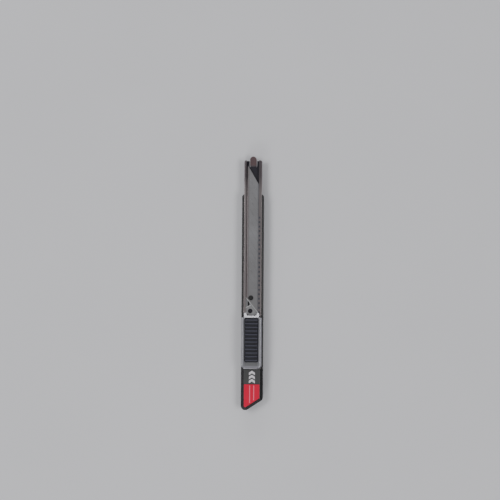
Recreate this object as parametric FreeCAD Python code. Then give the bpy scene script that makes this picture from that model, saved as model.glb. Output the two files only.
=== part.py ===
"""Snap-off utility knife with a 30 degree graphic-arts blade, lying on its back.

Row frame, in millimetres: +X runs along the knife towards the blade's tip, +Z points up out of the
open side of the channel, and +Y is the side of the cutting edge. The origin is in the middle of the
knife's box, on the face that it rests on. Everything is drawn with the blade fully drawn in, which is
where every joint is at zero.
"""
import FreeCAD
import Part
import math
import os

# ---- Blade: a scored strip, which sets the width and the length of everything else ----
blade_width = 9.0
blade_thickness = 0.4
blade_length = 86.5          # from the point to the rearmost corner of the tail
blade_angle = 30.0           # between the cutting edge and the front cut
tail_angle = 39.0            # between the cutting edge and the tail's cut
grind_width = 1.7            # ground strip along the cutting edge
edge_land = 0.05             # thickness left at the cutting edge
score_pitch = 5.5            # between two snap-off lines, along the knife
score_depth = 0.08
score_width = 0.22
blade_hole_radius = 1.5
blade_hole_from_tail = 10.2  # from the rearmost corner of the tail
blade_hole_offset = 0.9      # from the blade's middle towards the cutting edge

# ---- Sheath: a folded steel channel with two lips, one of them notched for the lock ----
sheath_steel = 0.35
blade_side_gap = 0.1
channel_height = 1.5
plain_lip_width = 1.25
notched_lip_width = 1.75
notch_pitch = 2.5
notch_width = 1.2
notch_depth = 1.0
spare_notches = 1            # past the last one used, at each end
tongue_width = 3.6
tongue_length = 5.9          # from its slits' rear ends to its tip
tongue_rise = 0.5            # bent up out of the floor, to just under the blade
tongue_bend_run = 1.2
tongue_slit = 0.35
floor_setback = 0.3          # of the floor's front end behind the lips
fold_radius = 0.28           # round the outside of the folded edges
lip_setback = 2.2            # front ends of the lips behind the tongue's tip
lip_corner_radius = 1.0
blade_setback = 2.3          # the blade's point behind the tongue's tip when it is drawn in

# ---- Body: a die-cast channel that holds the sheath ----
sheath_overhang = 21.0       # how far the sheath stands out in front
front_stop_gap = 4.0         # least gap left between the slider's nose and the body's front
body_wall = 1.1
body_depth = 4.0             # from the resting face up to the sheath
rim_rise = 0.3               # of the walls above the lips
body_edge_radius = 1.2
body_nose_radius = 1.6
rim_edge_radius = 0.24
nose_taper_length = 12.0
nose_taper_height = 2.2
pocket_floor = 1.2           # above the underside of the spigot
pocket_side = 1.2
pocket_rib = 1.4
pocket_count = 7
rivet_boss_radius = 2.3
flute_radius = 1.5
flute_depth = 0.35
flute_pitch = 2.6
flute_count = 11
flute_setback = 20.0         # first flute behind the body's nose

# ---- Thumb slider: a metal frame around a ribbed grip, with a cam inside ----
slider_length = 31.0
slider_behind_stud = 8.2     # the slider's nose behind the middle of the blade's hole
slider_rest_gap = 0.2        # to the end cap
slider_narrower = 0.25       # than the body, each side
slider_offset = 0.3          # towards the cutting edge's side, which leaves the notched side's rim bare
slider_lift = 0.15           # above the rims
slider_height = 2.65
flank_run = 0.7              # how far each flank leans in
slider_rim = 1.2             # width of the frame's top beside the grip
slider_rear_rim = 3.65
thumb_ramp_run = 1.9         # slope from behind the grip up to the rear rim
thumb_ramp_inset = 0.3
thumb_ramp_drop = 0.6
slider_front_rim = 0.3
nose_length = 2.5
nose_step = 1.15             # how much narrower the nose is, each side
nose_front_height = 0.7
nose_corner_radius = 1.2
nose_scoop_width = 6.0       # hollow in the nose's front edge
nose_scoop_depth = 1.6
nose_scoop_radius = 1.2
slider_shoulder_radius = 0.6
slider_corner_radius = 2.0
slider_edge_radius = 0.45
grip_base = 0.4
grip_rib_height = 0.55
grip_rib_count = 12
grip_rib_width = 1.0
grip_rib_inset = 0.3         # of a rib's ends from the grip's sides
grip_rib_radius = 0.3
grip_end_margin = 0.6
grip_corner_radius = 1.0
grip_gap = 0.05
rim_above_base = 1.05        # from the grip's seat up to the frame's top

# ---- Blade holder with its ears, pins and cam ----
holder_thickness = 0.5
holder_side_gap = 0.2
holder_lift = 0.1            # above the sheath's floor
holder_nose_ahead = 3.2      # in front of the stud
holder_tail_inset = 1.2      # short of the slider's rear end
holder_corner_radius = 1.5
step_height = 0.45           # raised part behind the blade's tail
step_gap = 0.25              # between the blade's tail and the raised part
step_lean = 28.0             # of the raised part's free edge, away from straight across
step_corner_offset = 0.9     # where that corner meets the tail's line, from the middle
step_length_under_slider = 4.0
second_hole_radius = 1.3
second_hole_behind_stud = 7.3
second_hole_offset = 1.2
stud_gap = 0.12              # round the stud, in the blade's hole
stud_shank_radius = 0.95
stud_below_blade_top = 0.06
stud_edge_radius = 0.12
ear_thickness = 0.5
ear_length = 3.2
ear_inset = 0.4              # from the notched lip's edge
ear_rise_above_pin = 0.75
front_pin_behind_nose = 6.7
rear_pin_before_tail = 6.2
pin_radius = 0.4
pin_above_frame_base = 0.35
pin_gap = 0.05
pin_blind_depth = 1.3
pin_end_recess = 0.35
shift_travel = 0.8           # play of the slider on the holder, each way
cavity_gap = 0.1
cam_clearance = 0.05
cam_side_gap = 0.1
cam_foot_half_width = 1.2
cam_foot_half_length = 1.8
cam_end_wall = 0.8

# ---- Lock spring: a leaf with one tooth ----
leaf_thickness = 0.25
leaf_half_width = 1.7
leaf_arm = 12.0              # from its rivets to the tooth
tooth_clearance = 0.15       # left under the lip when the tooth is pressed out of its notch
leaf_plateau_ahead = 0.9
leaf_plateau_behind = 1.6
leaf_lip_gap = 0.08          # between the leaf's front end and the lips
leaf_root_behind = 1.5
tooth_behind_nose = 9.7
tooth_length = 1.0
tooth_side_gap = 0.1
spring_rivet_radius = 0.45
spring_rivet_head_radius = 0.8
spring_rivet_head = 0.25
spring_rivet_gap = 0.09
spring_rivet_offset = 0.95

# ---- Rivets that hold the sheath in the body ----
sheath_rivet_radius = 0.9
sheath_rivet_head_radius = 1.6
sheath_rivet_depth = 2.4
sheath_rivet_ribs = (1, 4, 7)

# ---- End cap: a push-on cap with a slanted end and a slot for snapping the blade ----
cap_length = 23.0
cap_side_step = 0.05         # past the body, each side
cap_rise = 1.1               # above the rims
cap_end_angle = 33.5
cap_long_radius = 2.5
cap_short_radius = 1.9
cap_bevel = 1.6
cap_soft_radius = 0.55       # where the bevel meets the top and the sides
cap_edge_radius = 0.8
cap_floor = 1.1
cap_fit = 0.1
spigot_length = 11.5
socket_end_gap = 0.3
slot_web = 1.0               # left between the socket and the slot
snap_slot_height = 0.9
snap_slot_gap = 0.3
snap_slot_depth = 5.0
label_behind_cap_front = 8.5
label_thickness = 0.12

# ---- Places that follow from the sizes above ----
channel_half = blade_width / 2 + blade_side_gap
sheath_half = channel_half + sheath_steel
body_half = sheath_half + body_wall
cap_half = body_half + cap_side_step
slider_half = body_half - slider_narrower
slider_top_half = slider_half - flank_run
grip_half = slider_top_half - slider_rim
notched_edge = sheath_half - notched_lip_width

floor_top = body_depth + sheath_steel
lip_under = floor_top + channel_height
lip_top = lip_under + sheath_steel
rim_top = lip_top + rim_rise
slider_base = rim_top + slider_lift
slider_top = slider_base + slider_height
cap_top = rim_top + cap_rise
holder_under = floor_top + holder_lift
holder_top = holder_under + holder_thickness
blade_top = holder_top + blade_thickness
step_top = holder_top + step_height
grip_seat = slider_top - rim_above_base
pin_height = slider_base + pin_above_frame_base

stud_setback = blade_setback + blade_length - blade_hole_from_tail
slider_setback = stud_setback + slider_behind_stud
cap_setback = slider_setback + slider_length + slider_rest_gap
overall_length = cap_setback + cap_length

tip_x = overall_length / 2
lip_front_x = tip_x - lip_setback
tongue_root_x = tip_x - tongue_length
floor_front_x = lip_front_x - floor_setback
blade_point_x = tip_x - blade_setback
blade_tail_x = blade_point_x - blade_length
body_front_x = tip_x - sheath_overhang
stud_x = tip_x - stud_setback
slider_front_x = tip_x - slider_setback
slider_rear_x = slider_front_x - slider_length
cap_front_x = tip_x - cap_setback
cap_end_x = cap_front_x - cap_length
sheath_rear_x = cap_front_x - spigot_length
tooth_x = slider_front_x - tooth_behind_nose
leaf_root_x = tooth_x - leaf_arm
front_pin_x = slider_front_x - front_pin_behind_nose
rear_pin_x = slider_rear_x + rear_pin_before_tail

lock_steps = int((slider_setback - sheath_overhang - front_stop_gap) / notch_pitch)
slide_travel = lock_steps * notch_pitch
leaf_under = lip_under - leaf_lip_gap - leaf_thickness
leaf_drop = sheath_steel + tooth_clearance
leaf_angle = math.degrees(leaf_drop / leaf_arm)

ear_outer = notched_edge - ear_inset
ear_inner = ear_outer - ear_thickness
cavity_half = ear_outer + cavity_gap
cam_half = ear_inner - cam_side_gap
ceiling = pin_height + ear_rise_above_pin + cavity_gap

SINK = 0.1                   # how far fused pieces reach into each other
UP = FreeCAD.Vector(0, 0, 1)
ACROSS = FreeCAD.Vector(0, 1, 0)
ALONG = FreeCAD.Vector(1, 0, 0)


def block(x_range, y_range, z_range):
    """A box between three pairs of limits."""
    size = [high - low for low, high in (x_range, y_range, z_range)]
    return Part.makeBox(*size, FreeCAD.Vector(x_range[0], y_range[0], z_range[0]))


def prism(points, direction):
    """A flat outline of straight edges, carried along a vector."""
    corners = [FreeCAD.Vector(*point) for point in points]
    return Part.Face(Part.makePolygon(corners + corners[:1])).extrude(direction)


def plate(outline, z_low, z_high):
    """A plan outline as a flat plate."""
    return prism([(x, y, z_low) for x, y in outline], UP * (z_high - z_low))


def side_profile(outline, half_width):
    """An outline in X and Z as a piece that reaches the same way to both sides."""
    return prism([(x, -half_width, z) for x, z in outline], ACROSS * (2 * half_width))


def post(x, y, z_low, z_high, radius):
    """An upright cylinder."""
    return Part.makeCylinder(radius, z_high - z_low, FreeCAD.Vector(x, y, z_low), UP)


def cross_rod(x, z, y_low, y_high, radius):
    """A cylinder that lies across the knife."""
    return Part.makeCylinder(radius, y_high - y_low, FreeCAD.Vector(x, y_low, z), ACROSS)


def rounded(shape, radius, wanted):
    """The shape with the edges that the test picks rounded off."""
    edges = [edge for edge in shape.Edges if wanted(edge)]
    return shape.makeFillet(radius, edges)


def runs_along(edge, direction):
    """True for a straight edge that is parallel to a vector."""
    if not isinstance(edge.Curve, Part.Line):
        return False
    span = edge.Vertexes[-1].Point - edge.Vertexes[0].Point
    return span.cross(direction).Length < 1e-6 * span.Length


def group(solids):
    """Separate solids kept as one named piece."""
    return Part.makeCompound([solid for shape in solids for solid in shape.Solids])


# ---------------------------------------------------------------- handle

def rib_places():
    """Middles of the cross ribs, evenly spread behind the tapered nose."""
    first = body_front_x - nose_taper_length
    last = sheath_rear_x + pocket_rib
    pitch = (first - last) / pocket_count
    return [first - index * pitch for index in range(pocket_count + 1)]


def rivet_places():
    """Every rivet stands in a cross rib."""
    ribs = rib_places()
    return [ribs[min(index, len(ribs)) - 1] for index in sheath_rivet_ribs]


def body_shell():
    """Die-cast channel: cored from above, tapered under its nose, fluted under its back."""
    outline = [(cap_front_x, 0.0), (body_front_x - nose_taper_length, 0.0),
               (body_front_x, nose_taper_height), (body_front_x, rim_top), (cap_front_x, rim_top)]
    shell = side_profile(outline, body_half)
    shell = rounded(shell, body_nose_radius, lambda edge: (
        runs_along(edge, UP) and edge.CenterOfMass.x > body_front_x - 0.01))
    shell = rounded(shell, body_edge_radius, lambda edge: (
        edge.BoundBox.ZMax < nose_taper_height + 0.01 and edge.CenterOfMass.x > cap_front_x + 0.01
        and not runs_along(edge, ACROSS)))
    spigot_under = cap_floor + cap_fit
    spigot = block((sheath_rear_x, cap_front_x), (-sheath_half, sheath_half), (spigot_under, body_depth))
    shell = shell.fuse(spigot)
    channel = block((sheath_rear_x - 1, body_front_x + 1), (-sheath_half, sheath_half),
                    (body_depth, rim_top + 1))
    shell = shell.cut(channel)
    ribs = rib_places()
    pocket_half = body_half - body_wall - pocket_side
    for front, back in zip(ribs, ribs[1:]):
        x_range = (back + pocket_rib / 2, front - pocket_rib / 2)
        pocket = block(x_range, (-pocket_half, pocket_half), (spigot_under + pocket_floor, body_depth + 1))
        for x in rivet_places():
            pocket = pocket.cut(post(x, 0, 0, body_depth + 1, rivet_boss_radius))
        shell = shell.cut(pocket)
    for x in rivet_places():
        shell = shell.cut(post(x, 0, floor_top - sheath_rivet_depth, rim_top, sheath_rivet_radius))
    for index in range(flute_count):
        x = body_front_x - flute_setback - index * flute_pitch
        flute = cross_rod(x, flute_depth - flute_radius, -body_half - 1, body_half + 1, flute_radius)
        shell = shell.cut(flute)
    rim_edges = [edge for edge in shell.Edges
                 if runs_along(edge, ALONG) and edge.CenterOfMass.z > rim_top - 0.01]
    return shell.makeFillet(rim_edge_radius, rim_edges)


def sheath_floor():
    """Flat floor, with a narrow round-ended tongue that two slits free and that is bent up in front."""
    half = tongue_width / 2
    slit_half = half + tongue_slit
    floor = block((sheath_rear_x, floor_front_x), (-sheath_half, sheath_half), (body_depth, floor_top))
    floor = floor.cut(block((tongue_root_x, floor_front_x + 1), (-slit_half, slit_half), (0, lip_top)))
    bend_x = tongue_root_x + tongue_bend_run
    under = [(tongue_root_x - SINK, body_depth), (tongue_root_x, body_depth),
             (bend_x, body_depth + tongue_rise), (tip_x, body_depth + tongue_rise)]
    over = [(x, z + sheath_steel) for x, z in reversed(under)]
    tongue = side_profile(under + over, half)
    end = block((tip_x - half, tip_x + 1), (-half - 1, half + 1), (0, lip_top))
    tongue = tongue.cut(end.cut(post(tip_x - half, 0, 0, lip_top, half)))
    return floor.fuse(tongue)


def notch_places():
    """One notch under the tooth for every locking step, and the spare ones."""
    steps = range(-spare_notches, lock_steps + spare_notches + 1)
    return [tooth_x + step * notch_pitch for step in steps]


def sheath():
    """Folded channel: floor with its tongue, two walls and two lips, one lip notched."""
    solid = sheath_floor()
    for side, lip_width in ((1, plain_lip_width), (-1, notched_lip_width)):
        outer = side * sheath_half
        wall = sorted((outer, outer - side * sheath_steel))
        lip = sorted((outer, outer - side * lip_width))
        solid = solid.fuse(block((sheath_rear_x, lip_front_x), wall, (body_depth, lip_top)))
        solid = solid.fuse(block((sheath_rear_x, lip_front_x), lip, (lip_under, lip_top)))
    solid = solid.removeSplitter()
    solid = rounded(solid, min(fold_radius, 0.9 * sheath_steel), lambda edge: (
        runs_along(edge, ALONG) and abs(edge.CenterOfMass.y) > sheath_half - 0.01))
    corner = block((lip_front_x - lip_corner_radius, lip_front_x + 1),
                   (sheath_half - lip_corner_radius, sheath_half + 1), (body_depth - 1, lip_top + 1))
    corner = corner.cut(post(lip_front_x - lip_corner_radius, sheath_half - lip_corner_radius,
                             body_depth - 1, lip_top + 1, lip_corner_radius))
    solid = solid.cut(corner)
    solid = solid.cut(corner.mirror(FreeCAD.Vector(0, 0, 0), ACROSS))
    for x in notch_places():
        notch = block((x - notch_width / 2, x + notch_width / 2),
                      (-notched_edge - notch_depth, -notched_edge + 1), (lip_under - 0.2, lip_top + 1))
        solid = solid.cut(notch)
    for x in rivet_places():
        solid = solid.cut(sheath_rivet(x))
    return solid


def sheath_rivet(x):
    """Countersunk rivet, flush with the sheath's floor."""
    shank = post(x, 0, floor_top - sheath_rivet_depth, floor_top, sheath_rivet_radius)
    head = Part.makeCone(sheath_rivet_radius, sheath_rivet_head_radius, sheath_steel,
                         FreeCAD.Vector(x, 0, body_depth), UP)
    return shank.fuse(head).removeSplitter()


def sheath_rivets():
    return group([sheath_rivet(x) for x in rivet_places()])


# ---------------------------------------------------------------- blade and its holder

def cut_run(angle):
    """How far a cut at this angle to the edge runs along the knife, over the blade's width."""
    return blade_width / math.tan(math.radians(angle))


def blade():
    """Scored strip: slanted front and tail, ground edge on the +Y side, hole for the stud."""
    half = blade_width / 2
    point = blade_point_x
    tail = blade_tail_x
    solid = plate([(point, half), (point - cut_run(blade_angle), -half), (tail, -half),
                   (tail + cut_run(tail_angle), half)], holder_top, blade_top)
    drop = (blade_thickness - edge_land) / 2
    for face, toward in ((blade_top, -1), (holder_top, 1)):
        wedge = prism([(tail, half + 1e-3, face + toward * drop), (tail, half + 1e-3, face - toward * 1.0),
                       (tail, half - grind_width, face - toward * 1.0), (tail, half - grind_width, face)],
                      ALONG * (point - tail))
        solid = solid.cut(wedge)
    for x in score_places():
        lean = cut_run(blade_angle) / blade_width
        reach = half + 1.0
        groove = prism([(x - lean * (half + reach), -reach, blade_top - score_depth),
                        (x - lean * (half + reach) - score_width, -reach, blade_top + 0.1),
                        (x - lean * (half + reach) + score_width, -reach, blade_top + 0.1)],
                       FreeCAD.Vector(lean * 2 * reach, 2 * reach, 0))
        solid = solid.cut(groove)
    return solid.cut(post(stud_x, blade_hole_offset, 0, slider_top, blade_hole_radius))


def score_places():
    """Where each snap-off line meets the cutting edge, behind the point."""
    last = stud_x + blade_hole_radius + cut_run(blade_angle) / 2 + score_pitch / 2
    count = int((blade_point_x - last) / score_pitch)
    return [blade_point_x - (index + 1) * score_pitch for index in range(count)]


def tail_line(y):
    """X of the blade's tail at a given Y."""
    return blade_tail_x + cut_run(tail_angle) * (y + blade_width / 2) / blade_width


def ear(x, side):
    """Upright ear of the holder with a long hole, in which a pin can move both ways."""
    y_range = sorted((side * ear_inner, side * ear_outer))
    z_top = pin_height + ear_rise_above_pin
    solid = block((x - ear_length / 2, x + ear_length / 2), y_range, (holder_top - SINK, z_top))
    slot_radius = pin_radius + pin_gap
    slot = block((x - shift_travel, x + shift_travel), (y_range[0] - 1, y_range[1] + 1),
                 (pin_height - slot_radius, pin_height + slot_radius))
    for end in (-shift_travel, shift_travel):
        slot = slot.fuse(cross_rod(x + end, pin_height, y_range[0] - 1, y_range[1] + 1, slot_radius))
    return solid.cut(slot)


def blade_holder():
    """Steel strip that slides in the sheath: stud end, raised part behind the blade, four ears."""
    half = blade_width / 2 - holder_side_gap
    nose = stud_x + holder_nose_ahead
    rear = slider_rear_x + holder_tail_inset
    strip = plate([(rear, -half), (nose, -half), (nose, half), (rear, half)], holder_under, holder_top)
    strip = rounded(strip, holder_corner_radius, lambda edge: runs_along(edge, UP))
    crest = tail_line(step_corner_offset) - step_gap
    lean = math.tan(math.radians(step_lean))
    step_rear = slider_front_x - step_length_under_slider
    step = plate([(step_rear, -half), (tail_line(-half) - step_gap, -half), (crest, step_corner_offset),
                  (crest - lean * (half - step_corner_offset), half), (step_rear, half)],
                 holder_top - SINK, step_top)
    solid = strip.fuse(step)
    for x in (front_pin_x, rear_pin_x):
        for side in (-1, 1):
            solid = solid.fuse(ear(x, side))
    solid = solid.removeSplitter()
    holes = [(stud_x, blade_hole_offset, stud_shank_radius),
             (stud_x - second_hole_behind_stud, second_hole_offset, second_hole_radius)]
    holes += [(leaf_root_x, side * spring_rivet_offset, spring_rivet_radius) for side in (-1, 1)]
    for x, y, radius in holes:
        solid = solid.cut(post(x, y, 0, slider_top, radius))
    return solid


def blade_stud():
    """Riveted stud that the blade's hole drops over."""
    shank = post(stud_x, blade_hole_offset, holder_under, holder_top, stud_shank_radius)
    top = blade_top - stud_below_blade_top
    stud = shank.fuse(post(stud_x, blade_hole_offset, holder_top, top, blade_hole_radius - stud_gap))
    return rounded(stud, stud_edge_radius, lambda edge: edge.CenterOfMass.z > top - 0.01)


# ---------------------------------------------------------------- lock

def hump(clearance):
    """Both ramps of the leaf's hump, as points in X and Z, widened by a clearance."""
    leaf_top = leaf_under + leaf_thickness
    flat = 0.1 + clearance
    return [(tooth_x - shift_travel - flat, leaf_top), (tooth_x - flat, leaf_top + leaf_drop + clearance),
            (tooth_x + flat, leaf_top + leaf_drop + clearance), (tooth_x + shift_travel + flat, leaf_top)]


def lock_spring():
    """Leaf spring: riveted root, rising arm, a hump for the cam, and a tooth in the lip's notch."""
    low = holder_top
    under = leaf_under
    rear = leaf_root_x - leaf_root_behind
    knee = tooth_x - leaf_plateau_behind
    front = tooth_x + leaf_plateau_ahead
    thick = leaf_thickness
    lower = [(rear, low), (leaf_root_x, low), (knee, under), (front, under)]
    upper = [(x, z + thick) for x, z in reversed(lower)]
    leaf = side_profile(lower + upper, leaf_half_width)
    ramps = hump(0.0)
    foot = [(ramps[3][0], under + thick - SINK), (ramps[0][0], under + thick - SINK)]
    leaf = leaf.fuse(side_profile(ramps + foot, cam_foot_half_width - SINK))
    tooth_range = (tooth_x - tooth_length / 2, tooth_x + tooth_length / 2)
    tooth_outer = -notched_edge - notch_depth + tooth_side_gap
    arm = block(tooth_range, (tooth_outer, -leaf_half_width + SINK), (under, under + thick))
    tooth = block(tooth_range, (tooth_outer, -notched_edge - tooth_side_gap), (under, lip_top))
    leaf = leaf.fuse(arm).fuse(tooth).removeSplitter()
    for side in (-1, 1):
        leaf = leaf.cut(post(leaf_root_x, side * spring_rivet_offset, 0, slider_top,
                             spring_rivet_radius + spring_rivet_gap))
    return leaf


def spring_rivets():
    """Two small rivets through the leaf's root."""
    solids = []
    head_low = holder_top + leaf_thickness + spring_rivet_gap
    for side in (-1, 1):
        y = side * spring_rivet_offset
        shank = post(leaf_root_x, y, holder_under, head_low, spring_rivet_radius)
        head = post(leaf_root_x, y, head_low, head_low + spring_rivet_head, spring_rivet_head_radius)
        solids.append(shank.fuse(head).removeSplitter())
    return group(solids)


# ---------------------------------------------------------------- thumb slider

def leaning_bar(x_low, x_high, base_half, top_half):
    """A bar whose flanks lean in towards the top."""
    outline = [(x_low, -base_half, slider_base), (x_low, base_half, slider_base),
               (x_low, top_half, slider_top), (x_low, -top_half, slider_top)]
    return prism(outline, ALONG * (x_high - x_low))


def grip_limits():
    """X limits of the grip's seat in the frame."""
    return slider_rear_x + slider_rear_rim, slider_front_x - nose_length - slider_front_rim


def nose_scoop():
    """Hollow that is taken out of the nose's front edge, between two rounded horns."""
    half = nose_scoop_width / 2
    scoop = block((slider_front_x - nose_scoop_depth, slider_front_x + 2 * nose_scoop_radius),
                  (-half, half), (slider_base - 1, slider_top + 1))
    return rounded(scoop, nose_scoop_radius, lambda edge: (
        runs_along(edge, UP) and edge.CenterOfMass.x < slider_front_x))


def thumb_ramp(seat_rear_x):
    """Slope behind the grip, up to the rear rim."""
    foot_z = slider_top - thumb_ramp_drop
    outline = [(seat_rear_x + SINK, foot_z), (seat_rear_x + SINK, slider_top + 1),
               (seat_rear_x - thumb_ramp_run, slider_top + 1), (seat_rear_x - thumb_ramp_run, slider_top),
               (seat_rear_x, foot_z)]
    ramp = side_profile(outline, grip_half - thumb_ramp_inset)
    return ramp


def slider_frame():
    """Die-cast frame: leaning flanks, a narrower ramped nose, a seat for the grip, a cavity below."""
    shoulder = slider_front_x - nose_length
    bar = leaning_bar(slider_rear_x, shoulder, slider_half, slider_top_half)
    bar = rounded(bar, slider_corner_radius, lambda edge: (
        edge.BoundBox.ZLength > slider_height - 0.01 and edge.CenterOfMass.x < slider_rear_x + 0.01))
    bar = rounded(bar, slider_shoulder_radius, lambda edge: (
        edge.BoundBox.ZLength > slider_height - 0.01 and edge.CenterOfMass.x > shoulder - 0.01))
    nose = leaning_bar(shoulder - nose_length, slider_front_x,
                       slider_half - nose_step, slider_top_half - nose_step)
    nose = rounded(nose, nose_corner_radius, lambda edge: (
        edge.BoundBox.ZLength > slider_height - 0.01 and edge.CenterOfMass.x > slider_front_x - 0.01))
    ramp = side_profile([(slider_front_x + 0.1, slider_base + nose_front_height),
                         (slider_front_x + 0.1, slider_top + 1), (shoulder - 0.1, slider_top + 1),
                         (shoulder - 0.1, slider_top)], slider_half)
    nose = nose.cut(ramp).cut(nose_scoop())
    frame = bar.fuse(nose).removeSplitter()
    frame = rounded(frame, slider_edge_radius, lambda edge: edge.BoundBox.ZMin > slider_top - 0.01)
    low, high = grip_limits()
    seat = block((low - grip_gap, high + grip_gap), (-grip_half - grip_gap, grip_half + grip_gap),
                 (grip_seat, slider_top + 1))
    seat = rounded(seat, grip_corner_radius, lambda edge: runs_along(edge, UP))
    frame = frame.cut(seat).cut(thumb_ramp(low - grip_gap))
    frame.translate(ACROSS * slider_offset)
    reach = ear_length / 2 + shift_travel + cavity_gap
    cavity = block((rear_pin_x - reach, front_pin_x + reach), (-cavity_half, cavity_half),
                   (slider_base - 1, ceiling))
    frame = frame.cut(cavity)
    for x in (front_pin_x, rear_pin_x):
        hole = cross_rod(x, pin_height, -slider_half - 1, cavity_half + pin_blind_depth, pin_radius)
        frame = frame.cut(hole)
    return frame


def slider_grip():
    """Rubber pad with cross ribs, seated in the frame."""
    low, high = grip_limits()
    base = block((low, high), (-grip_half, grip_half), (grip_seat, grip_seat + grip_base))
    base = rounded(base, grip_corner_radius - grip_gap, lambda edge: runs_along(edge, UP))
    first = low + grip_end_margin + grip_rib_width / 2
    pitch = (high - low - 2 * grip_end_margin - grip_rib_width) / (grip_rib_count - 1)
    top = grip_seat + grip_base + grip_rib_height
    for index in range(grip_rib_count):
        x = first + index * pitch
        rib = block((x - grip_rib_width / 2, x + grip_rib_width / 2),
                    (-grip_half + grip_rib_inset, grip_half - grip_rib_inset), (grip_seat + SINK, top))
        rib = rounded(rib, grip_rib_radius, lambda edge: (
            edge.BoundBox.ZMin > top - 0.01 and runs_along(edge, ACROSS)))
        base = base.fuse(rib)
    base = base.removeSplitter()
    base.translate(ACROSS * slider_offset)
    return base


def slider_cam():
    """Plastic block between the ears: its notched foot presses the leaf down when the slider shifts."""
    margin = pin_radius + cam_end_wall
    foot_under = leaf_under + leaf_thickness + cam_clearance
    solid = block((rear_pin_x - margin, front_pin_x + margin), (-cam_half, cam_half),
                  (rim_top, ceiling - cam_clearance))
    solid = solid.fuse(block((tooth_x - cam_foot_half_length, tooth_x + cam_foot_half_length),
                             (-cam_foot_half_width, cam_foot_half_width), (foot_under, rim_top + SINK)))
    notch = hump(cam_clearance)
    slope = leaf_drop / shift_travel
    notch[0] = (notch[0][0] - cam_clearance / slope, notch[0][1])
    notch[3] = (notch[3][0] + cam_clearance / slope, notch[3][1])
    solid = solid.cut(side_profile(notch, cam_foot_half_width + 1))
    for x in (front_pin_x, rear_pin_x):
        solid = solid.cut(cross_rod(x, pin_height, -cam_half - 1, cam_half + 1, pin_radius + 0.01))
    return solid.removeSplitter()


def slider_pins():
    """Two cross pins that carry the frame and the cam on the holder's ears."""
    flank_at_pin = slider_half - flank_run * pin_above_frame_base / slider_height
    y_low = slider_offset - flank_at_pin + pin_end_recess
    y_high = cavity_half + pin_blind_depth
    places = (front_pin_x, rear_pin_x)
    return group([cross_rod(x, pin_height, y_low, y_high, pin_radius) for x in places])


# ---------------------------------------------------------------- end cap

def end_cap():
    """Push-on cap: bevelled top, slanted rounded end, socket for the spigot, slot for snapping."""
    lean = math.tan(math.radians(cap_end_angle))
    turn = math.radians(90 - cap_end_angle)
    corner_back = cap_long_radius / math.tan(turn / 2) - cap_long_radius
    long_x = cap_end_x - corner_back
    short_x = long_x + lean * 2 * cap_half
    solid = plate([(cap_front_x, -cap_half), (cap_front_x, cap_half),
                   (long_x, cap_half), (short_x, -cap_half)], 0, cap_top)
    solid = rounded(solid, cap_long_radius, lambda edge: (
        runs_along(edge, UP) and abs(edge.CenterOfMass.x - long_x) < 0.01))
    solid = rounded(solid, cap_short_radius, lambda edge: (
        runs_along(edge, UP) and abs(edge.CenterOfMass.x - short_x) < 0.01))
    top_edges = [edge for edge in solid.Edges
                 if edge.BoundBox.ZMin > cap_top - 0.01 and edge.CenterOfMass.x < cap_front_x - 0.01]
    solid = solid.makeChamfer(cap_bevel, top_edges)
    solid = rounded(solid, cap_soft_radius, lambda edge: (
        min(abs(edge.BoundBox.ZMin - cap_top), abs(edge.BoundBox.ZMin - cap_top + cap_bevel)) < 0.01
        and edge.BoundBox.ZLength < 0.01 and edge.CenterOfMass.x < cap_front_x - 0.01))
    solid = rounded(solid, cap_edge_radius, lambda edge: (
        edge.BoundBox.ZMax < 0.01 and edge.CenterOfMass.x < cap_front_x - 0.01))
    socket = block((sheath_rear_x - socket_end_gap, cap_front_x + 1),
                   (-sheath_half - cap_fit, sheath_half + cap_fit), (cap_floor, lip_top + cap_fit))
    solid = solid.cut(socket)
    slot_half = blade_width / 2 + snap_slot_gap
    middle = (cap_floor + lip_top) / 2
    slot = block((cap_end_x - 5, short_x + snap_slot_depth), (-slot_half, slot_half),
                 (middle - snap_slot_height / 2, middle + snap_slot_height / 2))
    web = block((sheath_rear_x - socket_end_gap - slot_web, cap_front_x), (-cap_half, cap_half), (0, cap_top))
    return solid.cut(slot.cut(web))


def cap_label(cap):
    """Thin label on the flat of the cap, from its front line to the slanted end."""
    level = [face for face in cap.Faces if face.CenterOfMass.z > cap_top - 0.01]
    top = max(level, key=lambda face: face.Area)
    label = Part.Face(top.OuterWire).extrude(UP * label_thickness)
    keep = block((cap_end_x - 1, cap_front_x - label_behind_cap_front), (-cap_half, cap_half),
                 (cap_top - 1, cap_top + 1))
    return label.common(keep)


# ---------------------------------------------------------------- all pieces

def main():
    os.makedirs("parts", exist_ok=True)
    cap = end_cap()
    pieces = {
        "body_shell": body_shell(),
        "sheath": sheath(),
        "sheath_rivets": sheath_rivets(),
        "blade": blade(),
        "blade_holder": blade_holder(),
        "blade_stud": blade_stud(),
        "lock_spring": lock_spring(),
        "spring_rivets": spring_rivets(),
        "slider_frame": slider_frame(),
        "slider_grip": slider_grip(),
        "slider_cam": slider_cam(),
        "slider_pins": slider_pins(),
        "end_cap": cap,
        "cap_label": cap_label(cap),
    }
    for name, shape in pieces.items():
        shape.exportStep("parts/" + name + ".step")
        box = shape.optimalBoundingBox()
        print(f"{name:14s} solids {len(shape.Solids)}  valid {shape.isValid()}  volume {shape.Volume:8.2f}"
              f"  x {box.XMin:7.2f}..{box.XMax:6.2f}  y {box.YMin:6.2f}..{box.YMax:5.2f}"
              f"  z {box.ZMin:5.2f}..{box.ZMax:5.2f}")
    print(f"overall length {overall_length:.2f}, slide travel {slide_travel:.2f} in {lock_steps} steps")
    print(f"leaf turns {leaf_angle:.3f} degrees about x {leaf_root_x:.3f}, z {holder_top:.3f}")


main()
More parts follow.
